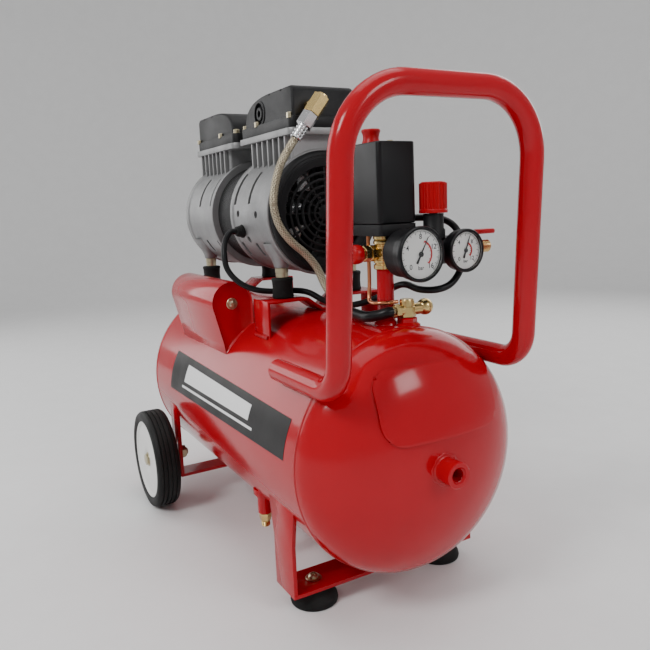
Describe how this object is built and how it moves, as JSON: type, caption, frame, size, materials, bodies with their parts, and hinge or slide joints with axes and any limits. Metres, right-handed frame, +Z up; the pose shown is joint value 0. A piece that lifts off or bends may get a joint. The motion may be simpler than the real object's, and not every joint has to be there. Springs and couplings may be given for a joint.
{
  "type": "portable air compressor",
  "caption": "Portable air compressor: a lying tank with a tubular handle, wheels at one end and feet at the other, under a two-ended oil-free motor pump with gauges and a pressure switch.",
  "frame": {"origin": "middle of the footprint, at the floor", "axes": "+X along the tank towards the handle, +Y towards the left wheel, +Z up"},
  "size_m": [0.6048, 0.338, 0.5386],
  "materials": {
    "red_paint": "gloss red enamel",
    "tank_skin": "gloss red enamel over the welded seams",
    "cast_alloy": "as-cast satin",
    "black_cast": "satin black paint",
    "laminations": "dark lacquered steel sheets",
    "black_plastic": "fine satin grain",
    "gauge_black": "gloss",
    "rubber": "matte",
    "tyre_rubber": "matte, lightly dusty",
    "white_plastic": "satin",
    "zinc": "zinc plated",
    "steel": "machined",
    "brass": "satin",
    "copper": "drawn copper tube",
    "red_plastic": "gloss red",
    "braid": "woven steel braid"
  },
  "bodies": {
    "frame": {"air_manifold": "brass", "axle_left": "zinc", "axle_right": "zinc", "capacitor": "black_plastic", "capacitor_cover": "red_paint", "check_valve": "brass", "delivery_elbow": "brass", "delivery_hose": "braid", "drain_valve": "brass", "foot_bolt_left": "zinc", "foot_bolt_right": "zinc", "foot_left": "rubber", "foot_right": "rubber", "front_crankcase": "cast_alloy", "front_cylinder_head": "black_cast", "front_fan_cover": "black_plastic", "front_leg_bracket": "red_paint", "front_platform": "red_paint", "front_port_boss": "red_paint", "handle_tube": "red_paint", "lead_gland": "black_plastic", "motor_lead": "rubber", "mount_front_left": "rubber", "mount_front_right": "rubber", "mount_rear_left": "rubber", "mount_rear_right": "rubber", "outlet_gauge": "gauge_black", "outlet_valve": "brass", "rear_crankcase": "cast_alloy", "rear_cylinder_head": "black_cast", "rear_fan_cover": "black_plastic", "rear_platform": "red_paint", "regulator_body": "black_plastic", "riser_pipe": "red_paint", "safety_valve": "brass", "stator": "laminations", "switch_base": "black_plastic", "switch_cover": "black_plastic", "tank_barrel": "tank_skin", "tank_front_head": "tank_skin", "tank_gauge": "gauge_black", "tank_rear_head": "tank_skin", "unloader_tube": "copper", "wheel_bracket": "red_paint"},
    "wheel_left": {"tyre_left": "tyre_rubber", "wheel_left": "white_plastic"},
    "wheel_right": {"tyre_right": "tyre_rubber", "wheel_right": "white_plastic"},
    "rotor": {"rotor_shaft": "steel", "front_fan": "black_plastic", "rear_fan": "black_plastic"},
    "front_piston": {"front_piston": "steel"},
    "rear_piston": {"rear_piston": "steel"},
    "switch_knob": {"switch_knob": "red_plastic"},
    "regulator_knob": {"regulator_knob": "red_plastic"},
    "tank_needle": {"tank_gauge_needle": "gauge_black"},
    "outlet_needle": {"outlet_gauge_needle": "gauge_black"},
    "outlet_lever": {"outlet_lever": "red_plastic"},
    "safety_ring": {"safety_pull_ring": "steel"},
    "drain_screw": {"drain_screw": "brass"}
  },
  "joints": [
    {"name": "wheel_left_spin", "type": "hinge", "parent": "frame", "child": "wheel_left", "pos_m": [-0.17025, 0.153, 0.0677], "axis": [0, 1, 0], "continuous": true},
    {"name": "wheel_right_spin", "type": "hinge", "parent": "frame", "child": "wheel_right", "pos_m": [-0.17025, -0.153, 0.0677], "axis": [0, 1, 0], "continuous": true},
    {"name": "rotor_spin", "type": "hinge", "parent": "frame", "child": "rotor", "pos_m": [-0.06735, 0, 0.4023], "axis": [1, 0, 0], "continuous": true},
    {"name": "front_piston_slide", "type": "slide", "parent": "frame", "child": "front_piston", "axis": [0, 0, 1], "range_m": [-0.018, 0]},
    {"name": "rear_piston_slide", "type": "slide", "parent": "frame", "child": "rear_piston", "axis": [0, 0, 1], "range_m": [-0.018, 0]},
    {"name": "switch_knob_pull", "type": "slide", "parent": "frame", "child": "switch_knob", "axis": [0, 0, 1], "range_m": [0, 0.008]},
    {"name": "regulator_knob_turn", "type": "hinge", "parent": "frame", "child": "regulator_knob", "pos_m": [0.22065, 0.0395, 0.41], "axis": [0, 0, 1], "range_deg": [-540, 540]},
    {"name": "tank_needle_turn", "type": "hinge", "parent": "frame", "child": "tank_needle", "pos_m": [0.24865, 0.0025, 0.3619], "axis": [-1, 0, 0], "range_deg": [-164, 106], "stiffness_Nm_per_rad": 0.0002},
    {"name": "outlet_needle_turn", "type": "hinge", "parent": "frame", "child": "outlet_needle", "pos_m": [0.24865, 0.056, 0.3619], "axis": [-1, 0, 0], "range_deg": [-155, 115], "stiffness_Nm_per_rad": 0.0002},
    {"name": "outlet_lever_turn", "type": "hinge", "parent": "frame", "child": "outlet_lever", "pos_m": [0.21665, 0.0823, 0.3759], "axis": [0, 0, 1], "range_deg": [-90, 0]},
    {"name": "safety_ring_pull", "type": "slide", "parent": "frame", "child": "safety_ring", "axis": [0, -1, 0], "range_m": [0, 0.003], "stiffness_N_per_m": 900},
    {"name": "drain_screw_turn", "type": "hinge", "parent": "frame", "child": "drain_screw", "pos_m": [0.07565, -0.095, 0.055], "axis": [0, 0, 1], "range_deg": [0, 720]}
  ]
}
